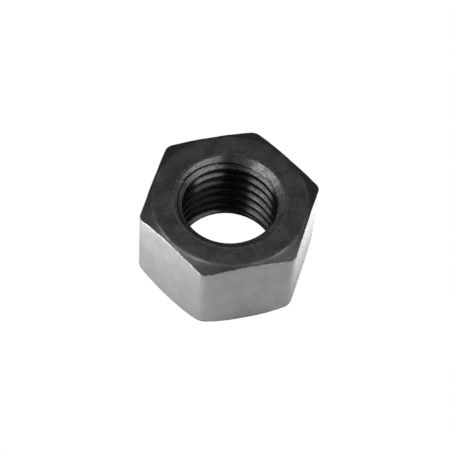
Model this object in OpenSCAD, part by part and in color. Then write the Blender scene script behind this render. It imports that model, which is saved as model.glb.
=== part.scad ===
// Plain hex nut with a coarse right-hand thread and crowned corners.
// Millimetres, +Z along the thread. The origin is the centre of the lower
// bearing face, and two opposite corners of the hexagon lie on the X axis.

/* [Thread] */
// Nominal diameter of the thread, at the roots of its grooves
thread_d = 20; // [19.5:0.1:20.2]
// Advance of one full turn of the thread
pitch = 2.5; // [2:0.25:3]
// Turn of the whole thread about its axis, from the corner on +X
thread_start = 215; // [0:5:355]
// Diameter of the tapped hole at the crests of the thread
minor_d = 17.7; // [17.2:0.05:17.9]

/* [Hexagon] */
// Distance across two opposite flats
across_flats = 30; // [29:0.5:36]
// Height from the lower bearing face to the upper one
nut_height = 18; // [14:0.5:22]

/* [Crowned corners] */
// Diameter of the flat bearing face inside each crown
face_d = 28.8; // [27.7:0.1:28.9]
// Slope of the upper crown where it leaves the bearing face
upper_slope = 16; // [12:1:30]
// Slope of the lower crown where it leaves the bearing face
lower_slope = 25; // [12:1:30]

/* [Countersinks] */
// Diameter of each countersink at the bearing face
sink_d = 20.7; // [20.4:0.1:22]
// Included angle of each countersink
sink_angle = 120; // [90:5:120]

/* [Finish] */
// Flat steps that make one turn of the thread's groove
steps_per_turn = 48; // [24:4:60]

/* [Hidden] */
corner_d = across_flats / cos(30);
// Spare length that takes each cutter clear of the surface it cuts
spare = 1;
// The flanks of the thread lean 30 degrees each way from its radius.
flank_angle = 30;
// Width of the groove's floor, an eighth of the pitch
root_w = pitch / 8;
// The groove's cutter starts inside the hole, clear of its wall.
cutter_r = minor_d / 2 - 0.4;
cutter_w = root_w + 2 * (thread_d / 2 - cutter_r) * tan(flank_angle);
// The groove runs past both bearing faces by this many turns.
over_turns = 1;
turns = nut_height / pitch + 2 * over_turns;
steps = ceil(turns * steps_per_turn);

// One cross-section of the groove's cutter, at a step along the helix:
// a trapezium with its wide side in the hole and its narrow side at the root.
function groove_section(step) =
    let (
        turn = step / steps_per_turn - over_turns,
        angle = 360 * turn + thread_start,
        height = pitch * turn,
        corners = [
            [cutter_r, -cutter_w / 2],
            [thread_d / 2, -root_w / 2],
            [thread_d / 2, root_w / 2],
            [cutter_r, cutter_w / 2]
        ]
    )
    [for (c = corners) [c[0] * cos(angle), c[0] * sin(angle), height + c[1]]];

// The groove as one closed sweep of that cross-section up a right-hand helix
module thread_groove() {
    sections = [for (i = [0:steps]) groove_section(i)];
    points = [for (section = sections) for (p = section) p];
    last = 4 * steps;
    sides = [
        for (i = [0:steps - 1])
        for (k = [0:3])
        let (a = 4 * i + k, b = 4 * i + (k + 1) % 4)
        for (face = [[a, b, b + 4], [a, b + 4, a + 4]])
        face
    ];
    start_cap = [[0, 3, 2], [0, 2, 1]];
    end_cap = [[last, last + 1, last + 2], [last, last + 2, last + 3]];
    polyhedron(points = points, faces = concat(sides, start_cap, end_cap));
}

// Sharp-cornered hexagonal bar with two corners on the X axis
module hexagon_bar() {
    cylinder(h = nut_height, d = corner_d, $fn = 6);
}

// Ball that crowns the end at z = 0 and leaves a flat face face_d across
module crown(slope) {
    ball_r = face_d / 2 / sin(slope);
    translate([0, 0, ball_r * cos(slope)])
        sphere(r = ball_r, $fn = 120);
}

// Straight hole through the nut, at the crests of the thread
module tapping_hole() {
    translate([0, 0, -spare])
        cylinder(h = nut_height + 2 * spare, d = minor_d, $fn = 120);
}

// Cone that leads the bolt in, as wide as sink_d at the lower bearing face
module countersink() {
    half = sink_angle / 2;
    depth = sink_d / 2 / tan(half);
    translate([0, 0, -spare])
        cylinder(h = depth + spare, r1 = sink_d / 2 + spare * tan(half), r2 = 0, $fn = 120);
}

// Turns what is made for the lower end over onto the upper end
module at_top() {
    translate([0, 0, nut_height])
        mirror([0, 0, 1])
            children();
}

// The nut: one forged and tapped piece of steel
module hex_nut() {
    color("dimgray")
        difference() {
            intersection() {
                hexagon_bar();
                crown(lower_slope);
                at_top() crown(upper_slope);
            }
            tapping_hole();
            countersink();
            at_top() countersink();
            thread_groove();
        }
}

hex_nut();
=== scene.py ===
"""Looks of a plain M20 hexagon nut in dark steel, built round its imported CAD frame.

The nut is one forged, turned and tapped piece, so it is one closed mesh: a
grid of columns that run round its outline and rows that follow its section,
out over the upper face, down the flats, in under the lower face and up the
threaded hole, where the rows climb with the thread's helix.
"""

import logging
import math
from dataclasses import dataclass, field, replace
from enum import Enum, IntEnum

import bmesh
import bpy
import numpy as np
from mathutils import Matrix, Vector


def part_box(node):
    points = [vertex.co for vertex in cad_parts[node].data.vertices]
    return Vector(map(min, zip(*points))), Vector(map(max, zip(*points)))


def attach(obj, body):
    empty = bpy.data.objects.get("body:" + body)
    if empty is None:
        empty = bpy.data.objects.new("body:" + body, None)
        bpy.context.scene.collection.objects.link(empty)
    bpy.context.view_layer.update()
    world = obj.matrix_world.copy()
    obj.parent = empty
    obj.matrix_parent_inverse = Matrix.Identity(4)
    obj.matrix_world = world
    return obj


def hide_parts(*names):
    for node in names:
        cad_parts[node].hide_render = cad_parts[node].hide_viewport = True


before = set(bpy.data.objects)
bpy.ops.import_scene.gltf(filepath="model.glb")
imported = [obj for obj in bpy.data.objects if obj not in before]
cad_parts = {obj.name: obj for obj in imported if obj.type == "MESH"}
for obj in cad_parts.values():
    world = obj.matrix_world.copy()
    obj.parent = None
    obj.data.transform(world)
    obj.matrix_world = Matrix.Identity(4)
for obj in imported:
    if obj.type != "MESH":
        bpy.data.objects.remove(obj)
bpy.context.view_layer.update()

MM = 0.001
NODE = "hex_nut"
BODY = "root"
ARC_SHARE = 0.48
WHITE = (1.0, 1.0, 1.0, 1.0)

log = logging.getLogger("hex_nut")


# ---------------------------------------------------------------- sections


def unit(vectors: np.ndarray) -> np.ndarray:
    """Scales vectors, held along the last axis, to length one."""
    return vectors / np.linalg.norm(vectors, axis=-1, keepdims=True)


def smoothstep(low: float, high: float, x: np.ndarray) -> np.ndarray:
    """Eases from 0 at low to 1 at high, as 3t^2 - 2t^3 of the clamped share t."""
    t = np.clip((x - low) / (high - low), 0.0, 1.0)
    return t * t * (3.0 - 2.0 * t)


def rounded_corner(
    before: np.ndarray, corner: np.ndarray, after: np.ndarray, radius: np.ndarray, steps: int
) -> np.ndarray:
    """Replaces a corner of a section by an arc that touches both its sides.

    With u along the first side, n square to it on the side of the turn and phi
    the turn, the arc starts radius * tan(phi / 2) before the corner, and its
    point at angle a is that start + radius * (sin(a) u + (1 - cos(a)) n).

    Args:
        before: Points (..., 2) on the first side.
        corner: The sharp corners (..., 2).
        after: Points (..., 2) on the second side.
        radius: The arc's radius, one for each corner.
        steps: How many pieces the arc is cut into.

    Returns:
        Points of shape (steps + 1, ..., 2), in the order of travel. An arc
        too large for its sides is made smaller, to take ARC_SHARE of the shorter.
    """
    u = unit(corner - before)
    w = unit(after - corner)
    cosine = np.clip(np.sum(u * w, axis=-1, keepdims=True), -1.0, 1.0)
    turn = np.arccos(cosine)
    n = unit(w - cosine * u)
    sides = [np.linalg.norm(v, axis=-1, keepdims=True) for v in (corner - before, after - corner)]
    most = ARC_SHARE * np.minimum(*sides) / np.tan(turn / 2.0)
    r = np.minimum(np.asarray(radius)[..., None], most)
    start = corner - u * r * np.tan(turn / 2.0)
    share = np.linspace(0.0, 1.0, steps + 1).reshape((-1,) + (1,) * corner.ndim)
    a = share * turn
    return start + r * (np.sin(a) * u + (1.0 - np.cos(a)) * n)


def between(start: np.ndarray, end: np.ndarray, count: int, ease: float = 0.7) -> np.ndarray:
    """Puts points on the straight line between two points, closer near its ends.

    The share of the way is a mix of s and (1 - cos(pi s)) / 2, by ease.

    Args:
        start: First points (..., 2), which aren't repeated.
        end: Last points (..., 2), which aren't repeated.
        count: How many points lie between them.
        ease: 0 for even steps, 1 for steps that shrink fully at the ends.

    Returns:
        Points of shape (count, ..., 2).
    """
    s = np.linspace(0.0, 1.0, count + 2)[1:-1]
    s = (1.0 - ease) * s + ease * (1.0 - np.cos(np.pi * s)) / 2.0
    s = s.reshape((-1,) + (1,) * start.ndim)
    return start + s * (end - start)


@dataclass(frozen=True)
class Ripple:
    """Smooth noise in space: a sum of plane waves with random directions and phases."""

    seed: int
    wavelength: float
    waves: int = 28
    shortest: float = 0.6
    longest: float = 1.8

    def at(self, places: np.ndarray) -> np.ndarray:
        """Adds sin(2 pi k.p + phase) over the waves, scaled to about -1 to 1.

        Args:
            places: Points (..., 3) in millimetres.

        Returns:
            One value for each point.
        """
        rng = np.random.default_rng(self.seed)
        directions = unit(rng.normal(size=(self.waves, 3)))
        lengths = self.wavelength * rng.uniform(self.shortest, self.longest, self.waves)
        phases = rng.uniform(0.0, 2.0 * np.pi, self.waves)
        total = np.zeros(places.shape[:-1])
        for direction, length, phase in zip(directions, lengths, phases, strict=True):
            total += np.sin(2.0 * np.pi * (places @ direction) / length + phase)
        return total / math.sqrt(self.waves)


# ---------------------------------------------------------------- the nut


class Finish(IntEnum):
    """The three surfaces of the nut, in the order of its material slots."""

    FLATS = 0
    FACES = 1
    TAPPED = 2


@dataclass(frozen=True)
class NutSizes:
    """Driving sizes of the nut in millimetres and degrees, as in the CAD model."""

    across_flats: float
    height: float
    face_d: float = 28.8
    upper_slope: float = 16.0
    lower_slope: float = 25.0
    sink_d: float = 20.7
    sink_angle: float = 120.0
    thread_d: float = 20.0
    minor_d: float = 17.7
    pitch: float = 2.5
    thread_start: float = 215.0

    @classmethod
    def from_frame(cls) -> "NutSizes":
        """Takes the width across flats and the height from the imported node's box."""
        low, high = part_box(NODE)
        return cls(across_flats=(high[1] - low[1]) / MM, height=(high[2] - low[2]) / MM)

    @property
    def apothem(self) -> float:
        """Half the width across flats."""
        return self.across_flats / 2.0

    def sink_radius(self, depth: np.ndarray) -> np.ndarray:
        """Radius of a countersink's cone at a depth below its bearing face."""
        return self.sink_d / 2.0 - depth * math.tan(math.radians(self.sink_angle / 2.0))

    def crown_drop(self, radius: np.ndarray, slope: float) -> np.ndarray:
        """How far a crown has fallen below its bearing face at a radius.

        The crown is part of a ball whose surface leaves the face's edge at the
        slope: the ball's radius is face_d / 2 / sin(slope), and the fall is the
        difference of the ball's heights at the two radii.

        Args:
            radius: Distances from the crown's centre, in millimetres.
            slope: The crown's slope at the bearing face's edge, in degrees.

        Returns:
            One fall for each radius, in millimetres.
        """
        edge = self.face_d / 2.0
        ball = edge / math.sin(math.radians(slope))
        return math.sqrt(ball**2 - edge**2) - np.sqrt(ball**2 - radius**2)


@dataclass(frozen=True)
class Dent:
    """A small knock in the steel: where it is, how wide, and which way it pushed."""

    place: tuple[float, float, float]
    push: tuple[float, float, float]
    width: float

    def move(self, places: np.ndarray) -> np.ndarray:
        """Pushes points by exp(-d^2 / (2 width^2)), with d the distance to the place.

        Args:
            places: Points (..., 3) in millimetres.

        Returns:
            The moved points.
        """
        squared = np.sum((places - np.array(self.place)) ** 2, axis=-1)
        bell = np.exp(-squared / (2.0 * self.width**2))
        return places + bell[..., None] * np.array(self.push)


@dataclass
class Outline:
    """The hexagon seen from above, with rounded corners, as a list of columns."""

    sizes: NutSizes
    corner_radius: float = 1.8
    arc_steps: int = 10
    flat_steps: int = 56
    points: np.ndarray = field(init=False)

    def __post_init__(self) -> None:
        """Works the columns out: one sixth of the outline, turned six times.

        A sixth runs from the middle of one corner's arc, along a flat, to the
        middle of the next arc. The arc's centre is (apothem - radius) / cos(30)
        from the axis.
        """
        radius = self.corner_radius
        reach = (self.sizes.apothem - radius) / math.cos(math.pi / 6.0)
        half = self.arc_steps // 2
        first = np.linspace(0.0, math.pi / 6.0, half + 1)
        arc = np.stack([reach + radius * np.cos(first), radius * np.sin(first)], axis=-1)
        second = np.linspace(math.pi / 6.0, math.pi / 3.0, half + 1)
        centre = reach * np.array([math.cos(math.pi / 3.0), math.sin(math.pi / 3.0)])
        next_arc = centre + radius * np.stack([np.cos(second), np.sin(second)], axis=-1)
        flat = between(arc[-1], next_arc[0], self.flat_steps - 1, ease=0.45)
        sixth = np.concatenate([arc, flat, next_arc[:-1]])
        turns = np.arange(6) * math.pi / 3.0
        c, s = np.cos(turns)[:, None], np.sin(turns)[:, None]
        x = c * sixth[:, 0] - s * sixth[:, 1]
        y = s * sixth[:, 0] + c * sixth[:, 1]
        self.points = np.stack([x.ravel(), y.ravel()], axis=-1)

    @property
    def radius(self) -> np.ndarray:
        """Distance of each column's outermost point from the axis."""
        return np.hypot(self.points[:, 0], self.points[:, 1])

    @property
    def angle(self) -> np.ndarray:
        """Angle of each column about the axis, from 0 up to a full turn."""
        return np.arctan2(self.points[:, 1], self.points[:, 0]) % (2.0 * np.pi)

    def near_corner(self, width: float) -> np.ndarray:
        """Bell curve, 1 at each corner, of apothem * tan(angle from it) / width."""
        from_corner = np.abs((self.angle + math.pi / 6.0) % (math.pi / 3.0) - math.pi / 6.0)
        return np.exp(-((np.tan(from_corner) * self.sizes.apothem / width) ** 2))


@dataclass
class ThreadForm:
    """One pitch of the internal thread's section, with its edges eased."""

    sizes: NutSizes
    root_radius: float = 0.14
    crest_radius: float = 0.07
    rise: np.ndarray = field(init=False)
    radius: np.ndarray = field(init=False)

    def __post_init__(self) -> None:
        """Works out one pitch of the section, from a crest's middle to the next.

        The groove's floor is an eighth of the pitch wide at the thread's
        diameter. Its sides lean 30 degrees and meet the crest at the hole's
        diameter.
        """
        s = self.sizes
        crest, root = s.minor_d / 2.0, s.thread_d / 2.0
        floor = s.pitch / 16.0
        mouth = floor + (root - crest) * math.tan(math.radians(30.0))
        middle = s.pitch / 2.0
        low_crest = np.array([crest, 0.0])
        corners = [
            np.array([crest, middle - mouth]),
            np.array([root, middle - floor]),
            np.array([root, middle + floor]),
            np.array([crest, middle + mouth]),
        ]
        high_crest = np.array([crest, s.pitch])
        path = [low_crest, *corners, high_crest]
        radii = [self.crest_radius, self.root_radius, self.root_radius, self.crest_radius]
        rows = [low_crest[None], between(low_crest, corners[0], 1)]
        for k, radius in enumerate(radii, start=1):
            rows.append(rounded_corner(path[k - 1], path[k], path[k + 1], np.array(radius), 2))
            if k in (1, 3):
                rows.append(between(path[k], path[k + 1], 2, ease=0.3))
        rows.append(between(corners[3], high_crest, 1))
        section = np.concatenate(rows)
        self.radius = section[:, 0]
        self.rise = section[:, 1]


@dataclass
class NutMesh:
    """The whole nut as one closed grid, dressed in its three finishes."""

    sizes: NutSizes
    edge_radius: float = 0.13
    lower_edge_radius: float = 0.45
    corner_blend: float = 0.75
    ridge_radius: float = 2.2
    rim_radius: float = 0.10
    waviness: float = 0.035
    edge_wave: Ripple = Ripple(7, 9.0)
    edge_nicks: Ripple = Ripple(3, 2.4)
    nick_share: float = 0.6
    swelling: Ripple = Ripple(11, 7.0)
    swell_share: float = 0.0012
    blend_width: float = 1.6
    wear_width: float = 0.3
    upright_width: float = 0.5
    upright_wear: float = 0.6
    sink_start: float = 0.3
    weld_gap: float = 0.0005
    upper_offset: tuple[float, float] = (0.11, 0.33)
    lower_offset: tuple[float, float] = (-0.29, 0.09)
    dents: tuple[Dent, ...] = (
        Dent((-8.55, -14.8, 16.5), (0.12, 0.20, -0.05), 0.30),
        Dent((-7.9, -14.95, 16.7), (0.0, 0.22, -0.10), 0.28),
        Dent((-12.4, -8.1, 17.1), (0.10, 0.06, -0.08), 0.35),
        Dent((2.6, -15.0, 17.3), (0.0, 0.10, -0.08), 0.40),
    )

    def outer_rows(self, outline: Outline) -> tuple[np.ndarray, np.ndarray, np.ndarray]:
        """Section of the outside, from the upper rim to the lower rim.

        Each column's section is a chain of straight sides whose corners are
        the upper rim, the upper ridge, the upper edge, and the same three
        below. Every corner is eased by an arc.

        Args:
            outline: The columns.

        Returns:
            Points (rows, columns, 2) of radius and height, the finish of the
            strip that follows each row, and how worn each point is.
        """
        s = self.sizes
        reach = outline.radius
        ones = np.ones_like(reach)
        wave = self.waviness * self.edge_wave.at(np.column_stack([outline.points, 0.0 * reach]))
        upper_ridge, upper_drop = self.crown(outline, self.upper_offset, s.upper_slope)
        lower_ridge, lower_drop = self.crown(outline, self.lower_offset, s.lower_slope)
        rim = s.sink_d / 2.0
        top = s.height

        def point(radius: np.ndarray, height: np.ndarray) -> np.ndarray:
            """Joins radii and heights, one for each column, into points."""
            return np.stack([radius * ones, height * ones], axis=-1)

        cone_in = self.sink_start
        chain = [
            point(s.sink_radius(cone_in), top - cone_in),
            point(rim, top),
            point(upper_ridge, top),
            point(reach, top - upper_drop - wave),
            point(reach, lower_drop - wave),
            point(lower_ridge, 0.0),
            point(rim, 0.0),
            point(s.sink_radius(cone_in), cone_in),
        ]
        nicks = self.edge_nicks.at(np.column_stack([outline.points, ones]))
        nicks = 1.0 + self.nick_share * np.clip(nicks, -1.0, 1.5)
        radii = [
            self.rim_radius * ones,
            self.ridge_radius * ones,
            self.edge_radius * nicks,
            self.lower_edge_radius + self.corner_blend * outline.near_corner(self.blend_width),
            self.ridge_radius * ones,
            self.rim_radius * ones,
        ]
        arc_steps = [3, 4, 5, 5, 4, 3]
        side_steps = [9, 7, 20, 7, 9]
        finishes = [Finish.FACES, Finish.FACES, Finish.FLATS, Finish.FACES, Finish.FACES]
        rows, finish = [], []
        arcs = [
            rounded_corner(chain[k], chain[k + 1], chain[k + 2], radii[k], arc_steps[k])
            for k in range(len(radii))
        ]
        for k, arc in enumerate(arcs):
            rows.append(arc)
            finish += [finishes[min(k, len(finishes) - 1)]] * arc_steps[k]
            if k < len(side_steps):
                rows.append(between(arc[-1], arcs[k + 1][0], side_steps[k], ease=0.85))
                finish += [finishes[k]] * (side_steps[k] + 1)
        finish.append(Finish.TAPPED)
        section = np.concatenate(rows)
        near_upper = np.linalg.norm(section - chain[3], axis=-1)
        near_lower = np.linalg.norm(section - chain[4], axis=-1)
        worn = np.exp(-((np.minimum(near_upper, near_lower) / self.wear_width) ** 2))
        return section, np.array(finish), worn

    def crown(
        self, outline: Outline, offset: tuple[float, float], slope: float
    ) -> tuple[np.ndarray, np.ndarray]:
        """Finds where a crown starts and how far it has fallen at the outline.

        The crown's centre lies a little off the thread's axis, by offset. Along
        each column's direction d the ridge is where offset.d + sqrt(r^2 - c^2)
        puts it, with r its own radius and c the part of offset square to d.

        Args:
            outline: The columns.
            offset: The crown's centre, from the thread's axis.
            slope: The crown's slope at its ridge, in degrees.

        Returns:
            The ridge's radius and the fall at the outline, one for each column.
        """
        s = self.sizes
        direction = unit(outline.points)
        along = direction @ np.array(offset)
        across = direction @ np.array([-offset[1], offset[0]])
        ridge = along + np.sqrt((s.face_d / 2.0) ** 2 - across**2)
        from_centre = np.linalg.norm(outline.points - np.array(offset), axis=-1)
        return ridge, s.crown_drop(from_centre, slope)

    def bore_rows(
        self, outline: Outline, low: float, high: float
    ) -> tuple[np.ndarray, np.ndarray, int]:
        """Section of the threaded hole, from its lower rim to its upper rim.

        The height of a row is its rise on the thread's section plus pitch times
        the column's share of a turn, so the rows climb with the helix. Its
        radius is the larger of the thread's and the countersinks'. The row
        nearest to where the thread runs out into a countersink is moved there.

        Args:
            outline: The columns.
            low: Height where the hole's section starts, just inside the lower rim.
            high: Height where it ends, just inside the upper rim.

        Returns:
            Points (rows, columns, 2) of radius and height, how much of a crest
            each point is, and the number of rows in one pitch.
        """
        s = self.sizes
        form = ThreadForm(s)
        per_pitch = len(form.rise)
        share = (outline.angle - math.radians(s.thread_start)) / (2.0 * np.pi)
        first = math.floor(low / s.pitch) - 2
        last = math.ceil(high / s.pitch) + 1
        turns = np.arange(first, last + 1)
        rise = (turns[:, None] * s.pitch + form.rise[None, :]).ravel() - s.pitch / 2.0
        thread = np.tile(form.radius, len(turns))[:, None] * np.ones_like(share)
        height = rise[:, None] + s.pitch * share
        for at_top in (True, False):
            meet = self.run_out(form, share, at_top)
            nearest = np.abs(height - meet).argmin(axis=0)
            columns = np.arange(len(share))
            height[nearest, columns] = meet
            depth = s.height - meet if at_top else meet
            thread[nearest, columns] = np.maximum(s.sink_radius(depth), s.minor_d / 2.0)
        height = np.clip(height, low, high)
        cone = np.maximum(s.sink_radius(s.height - height), s.sink_radius(height))
        radius = np.maximum(thread, cone)
        crest = smoothstep(0.55, 0.95, (s.thread_d / 2.0 - thread) / (s.thread_d - s.minor_d) * 2.0)
        return np.stack([radius, height], axis=-1), crest, per_pitch

    def run_out(self, form: ThreadForm, share: np.ndarray, at_top: bool) -> np.ndarray:
        """Finds, in each column, the height where the thread meets a countersink.

        The thread's radius less the cone's is sampled down the cone's depth,
        and its change of sign nearest to the bearing face is interpolated.

        Args:
            form: The thread's section.
            share: Each column's share of a turn.
            at_top: True for the upper countersink.

        Returns:
            One height for each column.
        """
        s = self.sizes
        depth = np.linspace(0.02, 1.2, 400)[:, None]
        height = s.height - depth if at_top else depth
        along = (height - s.pitch * share + s.pitch / 2.0) % s.pitch
        rises = np.append(form.rise, s.pitch)
        gap = np.interp(along, rises, np.append(form.radius, form.radius[0]))
        gap = gap - s.sink_radius(depth)
        crossed = (gap[:-1] < 0.0) & (gap[1:] >= 0.0)
        k = np.where(crossed.any(axis=0), crossed.argmax(axis=0), len(gap) - 2)
        columns = np.arange(len(share))
        a, b = gap[k, columns], gap[k + 1, columns]
        t = np.clip(-a / np.where(np.abs(b - a) < 1e-9, 1.0, b - a), 0.0, 1.0)
        found = depth[k, 0] + t * (depth[k + 1, 0] - depth[k, 0])
        return s.height - found if at_top else found

    def build(self) -> bpy.types.Object:
        """Makes the mesh: grid, weld, dents, attributes and materials' slots.

        Returns:
            The nut's object, at the origin, with its place in its mesh.
        """
        outline = Outline(self.sizes)
        outer, finish, worn = self.outer_rows(outline)
        bore, crest, per_pitch = self.bore_rows(outline, outer[-1, 0, 1], outer[0, 0, 1])
        section = np.concatenate([outer, bore])
        rows, columns = section.shape[:2]
        outer_count = len(outer)
        direction = np.stack([np.cos(outline.angle), np.sin(outline.angle)], axis=-1)
        flat = section[..., :1] * direction
        places = self.weathered(np.concatenate([flat, section[..., 1:]], axis=-1))
        quads = self.quads(rows, columns, outer_count, per_pitch)
        kinds = np.concatenate([finish, np.full(rows - outer_count, Finish.TAPPED)])
        kinds = np.repeat(kinds, columns)

        upright = self.upright_wear * outline.near_corner(self.upright_width) * np.ones_like(worn)
        upright *= section[:outer_count, :, 0] > outline.radius - 0.05
        wear = np.concatenate([np.maximum(worn, upright), np.zeros_like(crest)])
        crest = np.concatenate([np.zeros_like(worn), crest])

        mesh = bpy.data.meshes.new("hex_nut_steel")
        mesh.from_pydata(places.reshape(-1, 3) * MM, [], quads.tolist())
        for name, values in (("edge_wear", wear), ("crest", crest)):
            layer = mesh.attributes.new(name, "FLOAT", "POINT")
            layer.data.foreach_set("value", values.ravel().astype(np.float32))
        mesh.polygons.foreach_set("material_index", kinds.astype(np.int32))
        self.weld(mesh)
        mesh.polygons.foreach_set("use_smooth", np.ones(len(mesh.polygons), dtype=bool))
        mesh.update()
        nut = bpy.data.objects.new("hex_nut_steel", mesh)
        bpy.context.scene.collection.objects.link(nut)
        return nut

    @staticmethod
    def quads(rows: int, columns: int, outer_count: int, per_pitch: int) -> np.ndarray:
        """Joins the grid's points into quads, closed both ways.

        The last column joins the first. A row of the outside meets itself there,
        and a row of the thread meets the row one pitch higher, which its helix
        has climbed to. The last row joins the first, at the upper rim.

        Args:
            rows: Number of rows.
            columns: Number of columns.
            outer_count: How many of the rows are outside the hole.
            per_pitch: Number of rows in one pitch of the thread.

        Returns:
            Point numbers (quads, 4), row by row.
        """
        index = np.arange(rows * columns).reshape(rows, columns)
        wrap = np.arange(rows)
        wrap[outer_count:] = np.minimum(wrap[outer_count:] + per_pitch, rows - 1)
        index = np.concatenate([index, index[wrap, :1]], axis=1)
        index = np.concatenate([index, index[:1]], axis=0)
        sides = [index[:-1, :-1], index[1:, :-1], index[1:, 1:], index[:-1, 1:]]
        return np.stack(sides, axis=-1).reshape(-1, 4)

    def weathered(self, places: np.ndarray) -> np.ndarray:
        """Adds the forging's slight unevenness and its dents to the points.

        Args:
            places: Points (..., 3) in millimetres.

        Returns:
            The moved points, kept inside the sharp nut's own box.
        """
        s = self.sizes
        radial = np.hypot(places[..., 0], places[..., 1])
        outside = smoothstep(s.face_d / 2.0 - 1.0, s.apothem, radial)
        swell = 1.0 - self.swell_share * outside * (1.0 + self.swelling.at(places))
        moved = places.copy()
        moved[..., :2] *= swell[..., None]
        for dent in self.dents:
            moved = dent.move(moved)
        moved[..., 1] = np.clip(moved[..., 1], -s.apothem, s.apothem)
        moved[..., 2] = np.clip(moved[..., 2], 0.0, s.height)
        return moved

    def weld(self, mesh: bpy.types.Mesh) -> None:
        """Joins the points where rows of the hole end together at a rim.

        Args:
            mesh: The nut's mesh, in metres, which is changed in place.
        """
        work = bmesh.new()
        work.from_mesh(mesh)
        bmesh.ops.remove_doubles(work, verts=work.verts, dist=self.weld_gap * MM)
        work.to_mesh(mesh)
        work.free()


# ---------------------------------------------------------------- shaders


class Colour(Enum):
    """Greys of the steel, as scene-linear values."""

    STEEL = 0.42
    STEEL_LIGHT = 0.50
    BARE = 0.58
    OXIDE = 0.24
    OXIDE_DARK = 0.14
    OXIDE_DEEP = 0.07
    CUT = 0.30
    CUT_DARK = 0.12
    # Near-black for the painted shade in the threaded hole.
    SOOT = 0.006

    @property
    def rgba(self) -> tuple[float, float, float, float]:
        """The grey as a colour socket's value."""
        return (self.value, self.value, self.value, 1.0)


@dataclass(frozen=True)
class Wire:
    """A number in a shader tree. Its operators add Math nodes to the tree."""

    tree: "ShaderTree"
    socket: bpy.types.NodeSocket

    def __add__(self, other: "Wire | float") -> "Wire":
        """Sum."""
        return self.tree.maths("ADD", self, other)

    def __radd__(self, other: float) -> "Wire":
        """Sum, number first."""
        return self.tree.maths("ADD", other, self)

    def __sub__(self, other: "Wire | float") -> "Wire":
        """Difference."""
        return self.tree.maths("SUBTRACT", self, other)

    def __rsub__(self, other: float) -> "Wire":
        """Difference, number first."""
        return self.tree.maths("SUBTRACT", other, self)

    def __mul__(self, other: "Wire | float") -> "Wire":
        """Product."""
        return self.tree.maths("MULTIPLY", self, other)

    def __rmul__(self, other: float) -> "Wire":
        """Product, number first."""
        return self.tree.maths("MULTIPLY", other, self)

    def __truediv__(self, other: "Wire | float") -> "Wire":
        """Quotient."""
        return self.tree.maths("DIVIDE", self, other)

    def __rtruediv__(self, other: float) -> "Wire":
        """Quotient, number first."""
        return self.tree.maths("DIVIDE", other, self)


Feed = Wire | bpy.types.NodeSocket | float | tuple


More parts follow.
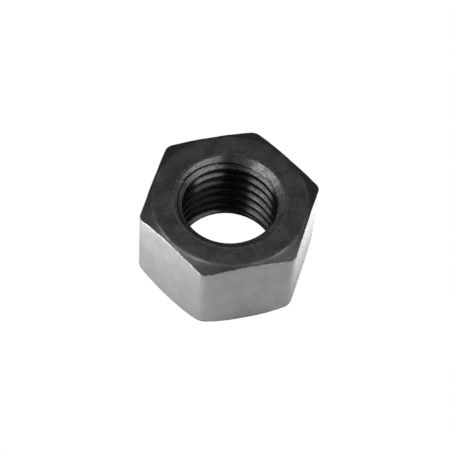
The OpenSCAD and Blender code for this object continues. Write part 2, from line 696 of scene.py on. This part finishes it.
class ShaderTree:
    """Builds the nodes of one material or of a world."""

    MIX_A, MIX_B, MIX_RESULT = 6, 7, 2

    def __init__(self, owner: bpy.types.Material | bpy.types.World) -> None:
        """Starts with an empty tree.

        Args:
            owner: The material or world whose tree it is.
        """
        self.owner = owner
        owner.use_nodes = True
        self.tree = owner.node_tree
        self.tree.nodes.clear()

    def node(
        self, kind: str, settings: dict | None = None, inputs: dict[str | int, Feed] | None = None
    ) -> bpy.types.Node:
        """Adds any node: its settings first, then its sockets' values or links.

        Args:
            kind: The node's type name.
            settings: Properties by name.
            inputs: Values or links by socket name or number.

        Returns:
            The node.
        """
        made = self.tree.nodes.new(kind)
        for name, value in (settings or {}).items():
            setattr(made, name, value)
        for name, value in (inputs or {}).items():
            if isinstance(value, Wire):
                value = value.socket
            if isinstance(value, bpy.types.NodeSocket):
                self.tree.links.new(value, made.inputs[name])
            else:
                made.inputs[name].default_value = value
        return made

    def maths(self, operation: str, a: Wire | float, b: Wire | float = 0.0) -> Wire:
        """Adds a Math node on two numbers and gives its result."""
        made = self.node("ShaderNodeMath", {"operation": operation}, {0: a, 1: b})
        return Wire(self, made.outputs[0])

    def ease(
        self, value: Wire, low: float, high: float, out_low: float = 0.0, out_high: float = 1.0
    ) -> Wire:
        """Maps a number smoothly from low..high to out_low..out_high, clamped."""
        made = self.node(
            "ShaderNodeMapRange",
            {"interpolation_type": "SMOOTHSTEP"},
            {"Value": value, "From Min": low, "From Max": high, "To Min": out_low, "To Max": out_high},
        )
        return Wire(self, made.outputs["Result"])

    def colour(self, factor: Feed, a: Feed, b: Feed) -> bpy.types.NodeSocket:
        """Mixes two colours by a factor and gives the mixed colour."""
        made = self.node(
            "ShaderNodeMix", {"data_type": "RGBA"}, {0: factor, self.MIX_A: a, self.MIX_B: b}
        )
        return made.outputs[self.MIX_RESULT]

    def place(self) -> bpy.types.NodeSocket:
        """The point's own place in millimetres."""
        inputs = {0: self.node("ShaderNodeTexCoord").outputs["Object"], "Scale": 1.0 / MM}
        return self.node("ShaderNodeVectorMath", {"operation": "SCALE"}, inputs).outputs["Vector"]

    def stretched(self, place: Feed, by: tuple[float, float, float]) -> bpy.types.NodeSocket:
        """Scales a place by three factors, so that a pattern runs one way."""
        made = self.node("ShaderNodeVectorMath", {"operation": "MULTIPLY"}, {0: place, 1: by})
        return made.outputs["Vector"]

    def noise(self, place: Feed, per_mm: float, detail: float = 4.0, rough: float = 0.55) -> Wire:
        """Noise from about 0.25 to 0.75, with a feature size of one over per_mm."""
        made = self.node(
            "ShaderNodeTexNoise",
            {"noise_dimensions": "3D"},
            {"Vector": place, "Scale": per_mm, "Detail": detail, "Roughness": rough},
        )
        return Wire(self, made.outputs[0])

    def rings(self, radius: Wire, per_mm: float, detail: float = 3.0) -> Wire:
        """Noise that depends on the radius only, as a lathe tool leaves."""
        made = self.node(
            "ShaderNodeTexNoise",
            {"noise_dimensions": "1D"},
            {"W": radius, "Scale": per_mm, "Detail": detail, "Roughness": 0.6},
        )
        return Wire(self, made.outputs[0])

    def measured(self, operation: str, inputs: dict[int, Feed]) -> Wire:
        """Adds a Vector Math node that gives a number."""
        made = self.node("ShaderNodeVectorMath", {"operation": operation}, inputs)
        return Wire(self, made.outputs["Value"])

    def along(self, place: Feed, direction: tuple[float, float, float]) -> Wire:
        """How far a place lies along a direction, in millimetres."""
        return self.measured("DOT_PRODUCT", {0: place, 1: direction})

    def radius_of(self, place: Feed) -> Wire:
        """Distance from the thread's axis, in millimetres."""
        return self.measured("LENGTH", {0: self.stretched(place, (1.0, 1.0, 0.0))})

    def rise_of(self, place: Feed) -> Wire:
        """Height above the lower bearing face, in millimetres."""
        return Wire(self, self.node("ShaderNodeSeparateXYZ", None, {0: place}).outputs["Z"])

    def attribute(self, name: str) -> Wire:
        """A value that the mesh carries at its points."""
        made = self.node("ShaderNodeAttribute", {"attribute_name": name})
        return Wire(self, made.outputs["Fac"])

    def bump(self, height: Wire, depth_mm: float) -> bpy.types.NodeSocket:
        """A bumped normal, whose height of 1 stands depth_mm proud."""
        inputs = {"Height": height, "Distance": depth_mm * MM, "Strength": 1.0}
        return self.node("ShaderNodeBump", None, inputs).outputs["Normal"]

    def steel(self, colour: Feed, roughness: Feed, normal: Feed) -> bpy.types.Material:
        """Closes the tree with a metal surface.

        Args:
            colour: The metal's colour.
            roughness: Its roughness.
            normal: Its bumped normal.

        Returns:
            The material whose tree it is.
        """
        shader = self.node(
            "ShaderNodeBsdfPrincipled",
            None,
            {"Base Color": colour, "Roughness": roughness, "Metallic": 1.0, "Normal": normal},
        )
        self.node("ShaderNodeOutputMaterial", None, {"Surface": shader.outputs["BSDF"]})
        return self.owner


@dataclass(frozen=True)
class ForgedFlat:
    """Forged flats: mottled steel with faint drag lines and worn, speckled edges."""

    roughness: float = 0.38
    grain_depth: float = 0.006
    blotches_per_mm: float = 0.35
    grains_per_mm: float = 1.8
    specks_per_mm: float = 1.3
    drag_stretch: tuple[float, float, float] = (2.4, 2.4, 0.3)

    def material(self) -> bpy.types.Material:
        """Mixes mottle and drag into the grey, then bares the worn edges.

        Returns:
            The flats' material.
        """
        t = ShaderTree(bpy.data.materials.new("forged_flat"))
        place = t.place()
        blotch = t.noise(place, self.blotches_per_mm, 4.0, 0.6)
        grain = t.noise(place, self.grains_per_mm, 5.0, 0.62)
        drag = t.noise(t.stretched(place, self.drag_stretch), 1.0, 3.0)
        tone = t.colour(
            t.ease(blotch * 0.5 + grain * 0.3 + drag * 0.2, 0.40, 0.60),
            Colour.STEEL.rgba,
            Colour.STEEL_LIGHT.rgba,
        )
        speck = t.noise(place, self.specks_per_mm, 4.0, 0.7)
        worn = t.ease(t.attribute("edge_wear") * (speck * 2.6 - 0.5), 0.45, 0.90)
        tone = t.colour(worn, tone, Colour.BARE.rgba)
        rough = self.roughness + 0.2 * (grain - 0.5) + 0.15 * (blotch - 0.5)
        normal = t.bump(grain * 0.8 + drag * 0.4, self.grain_depth)
        return t.steel(tone, rough, normal)


@dataclass(frozen=True)
class TurnedFace:
    """Bearing faces and crowns: mottled dark oxide with faint turned and dragged marks."""

    ridge_r: float
    rim_r: float
    roughness: float = 0.36
    mark_depth: float = 0.004
    blotches_per_mm: float = 0.28
    grains_per_mm: float = 2.2
    rings_per_mm: float = 1.6
    patches_per_mm: float = 0.16
    specks_per_mm: float = 1.3
    drag_stretch: tuple[float, float, float] = (0.5, 1.4, 1.0)
    band_width: float = 0.3
    crown_shade: float = 0.7
    # Bare steel at the ridge: partly wear, partly a painted highlight.
    ridge_wear_and_highlight: float = 0.3
    # Bare steel round the hole's rim: partly wear, partly a painted highlight.
    rim_wear_and_highlight: float = 0.35
    edge_wear: float = 0.5

    def material(self) -> bpy.types.Material:
        """Mixes mottle and rings into the oxide, darkens the crowns and bares the wear, partly a
        painted highlight at the ridge and rim.

        Returns:
            The faces' material.
        """
        t = ShaderTree(bpy.data.materials.new("turned_face"))
        place = t.place()
        radius = t.radius_of(place)
        blotch = t.noise(place, self.blotches_per_mm, 5.0, 0.6)
        grain = t.noise(place, self.grains_per_mm, 5.0, 0.65)
        drag = t.noise(t.stretched(place, self.drag_stretch), 1.0, 5.0, 0.6)
        rings = t.rings(radius, self.rings_per_mm)
        tone = t.colour(
            t.ease(blotch * 0.5 + drag * 0.15 + grain * 0.25 + rings * 0.1, 0.41, 0.59),
            Colour.OXIDE_DARK.rgba,
            Colour.OXIDE.rgba,
        )
        crown = t.ease(radius, self.ridge_r - 0.4, self.ridge_r + 0.8)
        tone = t.colour(crown * self.crown_shade, tone, Colour.OXIDE_DEEP.rgba)
        patches = t.ease(t.noise(place, self.patches_per_mm, 2.0), 0.50, 0.62)
        # Partly wear, partly a painted highlight: bare steel in patches round the ridge.
        ridge = self.band(t, radius, self.ridge_r) * patches * self.ridge_wear_and_highlight
        # Partly wear, partly a painted highlight: bare steel in a ring just outside the hole's rim.
        rim = self.band(t, radius, self.rim_r + self.band_width)
        rim_rub_and_highlight = rim * t.ease(grain, 0.35, 0.60) * self.rim_wear_and_highlight
        speck = t.noise(place, self.specks_per_mm, 4.0, 0.7)
        edge = t.ease(t.attribute("edge_wear") * (speck * 2.4 - 0.35), 0.50, 0.90)
        # Bare steel where worn, which at the ridge and the rim is partly a painted highlight.
        worn = t.maths("MAXIMUM", t.maths("MAXIMUM", ridge, rim_rub_and_highlight), edge * self.edge_wear)
        tone = t.colour(worn, tone, Colour.BARE.rgba)
        rough = self.roughness + 0.16 * (grain - 0.5)
        normal = t.bump(rings * 0.25 + drag * 0.3 + grain * 0.6, self.mark_depth)
        return t.steel(tone, rough, normal)

    def band(self, t: ShaderTree, radius: Wire, middle: float) -> Wire:
        """A soft ring: 1 at the middle radius, 0 beyond band_width each way."""
        return 1.0 - t.ease(t.maths("ABSOLUTE", radius - middle), 0.0, self.band_width)


@dataclass(frozen=True)
class TappedThread:
    """Countersinks and thread: speckled at the mouth, smooth and with painted shade deeper in the
    hole.
    """

    height: float
    mouth_roughness: float = 0.40
    thread_roughness: float = 0.26
    tear_depth: float = 0.02
    grains_per_mm: float = 2.4
    blotches_per_mm: float = 0.5
    # Share of painted shade laid over the thread below the mouth.
    painted_shade_share: float = 0.97
    # Share of painted shade on the thread's crests.
    crest_shade_share: float = 0.8
    # Share of the dark band of painted shade.
    dark_band_share: float = 0.75
    # Angles round the axis of the two lighter stretches of painted light and of the dark band of
    # painted shade.
    lit_stretch_through: float = 32.0
    lit_stretch_near_mouth: float = 102.0
    dark_band_at: float = 68.0

    def material(self) -> bpy.types.Material:
        """Mottles the cut steel, then lays painted shade over it.

        Painted shade darkens the thread and its crests below the mouth, apart from two
        stretches left lighter as painted light: one runs all the way down, one fades
        with depth. A dark band of painted shade between them reaches up over the
        countersink.

        Returns:
            The thread's material.
        """
        t = ShaderTree(bpy.data.materials.new("tapped_thread"))
        place = t.place()
        grain = t.noise(place, self.grains_per_mm, 5.0, 0.65)
        blotch = t.noise(place, self.blotches_per_mm, 3.0)
        rise = t.rise_of(place)
        depth = self.height - rise
        inside = t.ease(t.maths("MINIMUM", depth, rise), 1.5, 2.8)
        mottle = t.ease(grain * 0.7 + blotch * 0.3, 0.38, 0.62)
        tone = t.colour(mottle, Colour.CUT_DARK.rgba, Colour.CUT.rgba)
        # Painted light: two stretches of wall where the painted shade is lifted, one all the way down,
        # one fading with depth.
        lit_through = self.wall_stretch(t, place, self.lit_stretch_through)
        lit_through = lit_through * t.ease(depth, 3.0, 14.0, 0.45, 0.25)
        lit_fading = t.ease(depth + (blotch - 0.5) * 3.0, 2.5, 9.0, 0.7, 0.0)
        lit_near_mouth = self.wall_stretch(t, place, self.lit_stretch_near_mouth) * lit_fading
        # Painted shade: the thread turns near-black below the mouth, except in the lighter stretches.
        painted_shade = self.painted_shade_share - self.painted_shade_share * t.maths("MAXIMUM", lit_through, lit_near_mouth)
        # Painted shade on the crests, which darkens them beyond the flanks.
        dark = t.maths("MAXIMUM", painted_shade, t.attribute("crest") * self.crest_shade_share)
        # Painted shade: a dark band round 68 degrees stands in for a dark reflection and reaches up
        # over the countersink.
        dark_band = self.dark_band_share * self.wall_stretch(t, place, self.dark_band_at)
        # Lays the painted shade, faded out near both mouths, and the dark band over the mottled steel.
        tone = t.colour(t.maths("MAXIMUM", dark * inside, dark_band), tone, Colour.SOOT.rgba)
        rough = self.mouth_roughness + inside * (self.thread_roughness - self.mouth_roughness)
        rough = rough + 0.2 * (grain - 0.5)
        normal = t.bump(grain, self.tear_depth)
        return t.steel(tone, rough, normal)

    @staticmethod
    def wall_stretch(t: ShaderTree, place: Feed, angle: float) -> Wire:
        """Marks a stretch of the hole's wall round an angle.

        It is 1 within 8 degrees of the angle and eases to 0 at 23 degrees, by
        the cosine between the point's direction from the axis and the angle's.

        Args:
            t: The thread's shader tree.
            place: The point's place in millimetres.
            angle: The middle of the stretch round the axis, in degrees.

        Returns:
            How far the point belongs to the stretch.
        """
        side = math.radians(angle)
        cosine = t.along(place, (math.cos(side), math.sin(side), 0.0)) / t.radius_of(place)
        return t.ease(cosine, 0.92, 0.99)


# ---------------------------------------------------------------- the studio


@dataclass(frozen=True)
class Softbox:
    """A square area light, aimed at the nut or straight down at the floor."""

    name: str
    azimuth: float
    elevation: float
    distance: float
    side: float
    power: float
    faces_down: bool = False

    def build(self, centre: Vector) -> None:
        """Makes the light at its angles round a centre, facing it or the floor.

        Args:
            centre: The nut's centre, in metres.
        """
        data = bpy.data.lights.new(self.name, "AREA")
        data.shape = "SQUARE"
        data.size = self.side
        data.energy = self.power
        lamp = bpy.data.objects.new(self.name, data)
        a, e = math.radians(self.azimuth), math.radians(self.elevation)
        away = Vector((math.cos(a) * math.cos(e), math.sin(a) * math.cos(e), math.sin(e)))
        lamp.location = centre + away * self.distance
        lamp.rotation_mode = "QUATERNION"
        behind = Vector((0.0, 0.0, 1.0)) if self.faces_down else away
        lamp.rotation_quaternion = behind.to_track_quat("Z", "Y")
        lamp.visible_camera = False
        bpy.context.scene.collection.objects.link(lamp)


@dataclass(frozen=True)
class Studio:
    """A white floor, soft lights and a dim room round the nut."""

    room: float = 0.15
    floor_side: float = 3.0
    floor_shade: float = 0.82
    floor_gap: float = 0.02
    lights: tuple[Softbox, ...] = (
        Softbox("softbox_left", 200.0, 53.0, 0.16, 0.12, 0.072),
        Softbox("softbox_right", -18.0, 53.0, 0.18, 0.12, 0.060),
        Softbox("floor_light_front", 215.0, 45.0, 0.075, 0.03, 0.008, True),
        Softbox("floor_light_left", 203.0, 14.0, 0.062, 0.03, 0.034, True),
        Softbox("floor_light_right", 12.0, 9.0, 0.038, 0.016, 0.012, True),
    )

    def build(self, turn: float, centre: Vector) -> None:
        """Makes the floor, the room's light and the softboxes.

        Args:
            turn: How far the camera stands round the nut from straight in front,
                in degrees, which the lights follow.
            centre: The nut's centre, in metres.
        """
        self.floor()
        self.world()
        for light in self.lights:
            replace(light, azimuth=light.azimuth + turn).build(centre)
        view = bpy.context.scene.view_settings
        view.view_transform = "Standard"
        view.look = "None"

    def floor(self) -> None:
        """Lays a plain floor that looks white and lights the nut from below."""
        half = self.floor_side / 2.0
        below = -self.floor_gap * MM
        signs = [(-1, -1), (1, -1), (1, 1), (-1, 1)]
        corners = [(half * x, half * y, below) for x, y in signs]
        mesh = bpy.data.meshes.new("studio_floor")
        mesh.from_pydata(corners, [], [(0, 1, 2, 3)])
        t = ShaderTree(bpy.data.materials.new("studio_floor"))
        shade = self.floor_shade
        matt = t.node("ShaderNodeBsdfDiffuse", None, {"Color": (shade, shade, shade, 1.0)})
        glow = t.node("ShaderNodeEmission", None, {"Strength": 1.0})
        seen = t.node("ShaderNodeLightPath").outputs["Is Camera Ray"]
        mix = t.node("ShaderNodeMixShader", None, {0: seen, 1: matt.outputs[0], 2: glow.outputs[0]})
        t.node("ShaderNodeOutputMaterial", None, {"Surface": mix.outputs[0]})
        mesh.materials.append(t.owner)
        floor = bpy.data.objects.new("studio_floor", mesh)
        bpy.context.scene.collection.objects.link(floor)

    def world(self) -> None:
        """Fills the room with dim even light, and with white where it is seen."""
        world = bpy.data.worlds.new("studio")
        t = ShaderTree(world)
        dim = t.node("ShaderNodeBackground", None, {"Color": WHITE, "Strength": self.room})
        white = t.node("ShaderNodeBackground", None, {"Color": WHITE, "Strength": 1.0})
        seen = t.node("ShaderNodeLightPath").outputs["Is Camera Ray"]
        mix = t.node("ShaderNodeMixShader", None, {0: seen, 1: dim.outputs[0], 2: white.outputs[0]})
        t.node("ShaderNodeOutputWorld", None, {"Surface": mix.outputs[0]})
        bpy.context.scene.world = world


@dataclass(frozen=True)
class Viewpoint:
    """A long-lens camera that looks down at the nut from in front."""

    turn: float = -17.66
    elevation: float = 55.65
    roll: float = 5.02
    distance: float = 365.8
    lens: float = 155.0
    sensor: float = 36.0
    aim_left: float = 0.52
    aim_up: float = 0.50

    def build(self, centre: Vector) -> None:
        """Makes the camera and hands it to the scene.

        The camera stands at the elevation, at -90 degrees plus the turn round
        the nut, rolls about its own line of sight, and aims a little to the
        left of the nut's centre and above it.

        Args:
            centre: The nut's centre, in metres.
        """
        a, e, r = (math.radians(v) for v in (self.turn - 90.0, self.elevation, self.roll))
        back = Vector((math.cos(a) * math.cos(e), math.sin(a) * math.cos(e), math.sin(e)))
        right = Vector((-math.sin(a), math.cos(a), 0.0))
        up = back.cross(right)
        x_axis = right * math.cos(r) + up * math.sin(r)
        y_axis = up * math.cos(r) - right * math.sin(r)
        data = bpy.data.cameras.new("view_camera")
        data.sensor_width = self.sensor
        data.lens = self.lens
        data.clip_start = 0.02
        data.clip_end = 10.0
        camera = bpy.data.objects.new("view_camera", data)
        place = centre + back * self.distance * MM
        place += y_axis * self.aim_up * MM - x_axis * self.aim_left * MM
        axes = Matrix((x_axis, y_axis, back)).transposed().to_4x4()
        camera.matrix_world = Matrix.Translation(place) @ axes
        bpy.context.scene.collection.objects.link(camera)
        bpy.context.scene.camera = camera


# ---------------------------------------------------------------- assembly


def main() -> None:
    """Builds the nut and its studio, and reports each piece."""
    logging.basicConfig(level=logging.INFO, format="%(name)s: %(message)s")
    sizes = NutSizes.from_frame()
    centre = Vector((0.0, 0.0, sizes.height * MM / 2.0))
    view = Viewpoint()
    view.build(centre)
    Studio().build(view.turn, centre)

    nut = NutMesh(sizes).build()
    finishes = {
        Finish.FLATS: ForgedFlat().material(),
        Finish.FACES: TurnedFace(ridge_r=sizes.face_d / 2.0, rim_r=sizes.sink_d / 2.0).material(),
        Finish.TAPPED: TappedThread(height=sizes.height).material(),
    }
    for finish in Finish:
        nut.data.materials.append(finishes[finish])
    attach(nut, BODY)
    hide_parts(NODE)
    log.info("%s: %d points, %d faces", nut.name, len(nut.data.vertices), len(nut.data.polygons))


if __name__ == "__main__":
    main()
